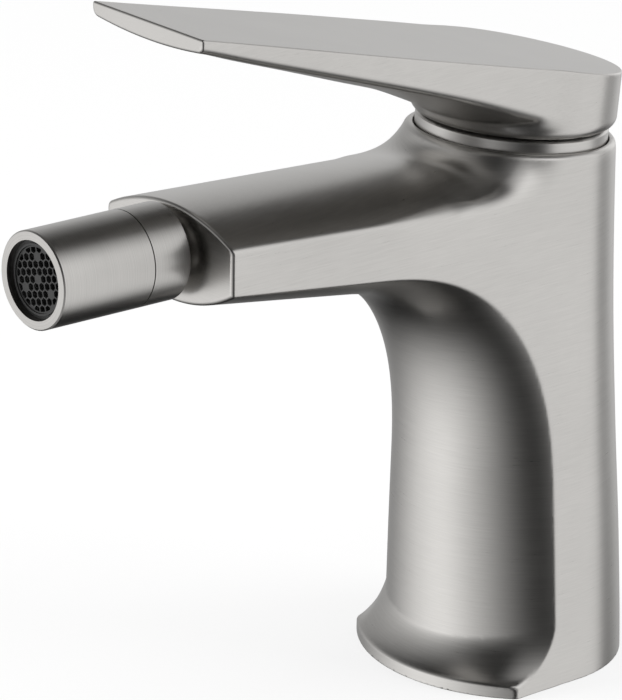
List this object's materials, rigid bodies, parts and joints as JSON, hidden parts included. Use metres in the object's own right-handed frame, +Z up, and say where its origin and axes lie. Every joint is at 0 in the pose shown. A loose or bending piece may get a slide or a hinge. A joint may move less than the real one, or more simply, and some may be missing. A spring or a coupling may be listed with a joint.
{
  "type": "bidet mixer",
  "caption": "One-lever deck mixer for a bidet: round-backed column, forward spout with a ball-jointed swivel nozzle and aerator, and a flat lever handle on top.",
  "frame": {"origin": "centre of the foot's underside, at the mouth of the stud hole", "axes": "+Z up along the column, the spout points to -Y, +X across"},
  "size_m": [0.0568, 0.1679, 0.174],
  "materials": {
    "body_finish": "brushed warm grey plating, lines round the column",
    "collar_finish": "brushed warm grey plating, turned",
    "handle_finish": "brushed warm grey plating, lines along the blade",
    "nozzle_finish": "brushed warm grey plating, turned",
    "plated_brass": "polished",
    "brass": "machined",
    "steel": "machined",
    "black_plastic": "satin moulded black",
    "white_plastic": "moulded",
    "grey_plastic": "moulded",
    "black_rubber": "matt",
    "disc_ceramic": null
  },
  "bodies": {
    "body": {"body_casting": "body_finish", "base_seal": "black_rubber", "cartridge_housing": "grey_plastic", "cartridge_base": "white_plastic", "disc_seals": "black_rubber", "port_seals": "black_rubber", "fixed_disc": "disc_ceramic", "retaining_nut": "brass", "collar_ring": "collar_finish", "ball_nipple": "plated_brass", "nipple_seal": "black_rubber"},
    "rotor": {"cartridge_rotor": "white_plastic", "fulcrum_pin": "steel"},
    "lever": {"lever_handle": "handle_finish", "lever_stem": "steel", "handle_screw": "steel", "screw_cover": "handle_finish"},
    "disc": {"disc_carrier": "white_plastic", "moving_disc": "disc_ceramic"},
    "liner": {"ball_liner": "white_plastic"},
    "seat": {"seat_cup": "white_plastic"},
    "nozzle": {"ball_ring": "nozzle_finish", "nozzle_barrel": "nozzle_finish", "aerator_washer": "black_rubber", "aerator_housing": "black_plastic", "aerator_insert": "white_plastic", "aerator_screen": "black_plastic"}
  },
  "joints": [
    {"name": "handle_turn", "type": "hinge", "parent": "body", "child": "rotor", "pos_m": [0, 0, 0.12716], "axis": [0, 0.1059, 0.9944], "range_deg": [-50, 50]},
    {"name": "handle_lift", "type": "hinge", "parent": "rotor", "child": "lever", "pos_m": [0, 0.00178, 0.12496], "axis": [-1, 0, 0], "range_deg": [0, 11]},
    {"name": "disc_slide", "type": "slide", "parent": "rotor", "child": "disc", "axis": [0, -0.9944, 0.1059], "range_m": [0, 0.00242]},
    {"name": "nozzle_tilt", "type": "hinge", "parent": "body", "child": "liner", "pos_m": [0, -0.1078, 0.12104], "axis": [1, 0, 0], "range_deg": [-8, 10]},
    {"name": "nozzle_swing", "type": "hinge", "parent": "liner", "child": "seat", "pos_m": [0, -0.1078, 0.12104], "axis": [0, 0.029, 0.9996], "range_deg": [-9, 9]},
    {"name": "nozzle_spin", "type": "hinge", "parent": "seat", "child": "nozzle", "pos_m": [0, -0.1078, 0.12104], "axis": [0, -0.9996, 0.029], "continuous": true}
  ],
  "couplings": [
    {"joint": "disc_slide", "follows": "handle_lift", "m_per_rad": 0.0126}
  ]
}
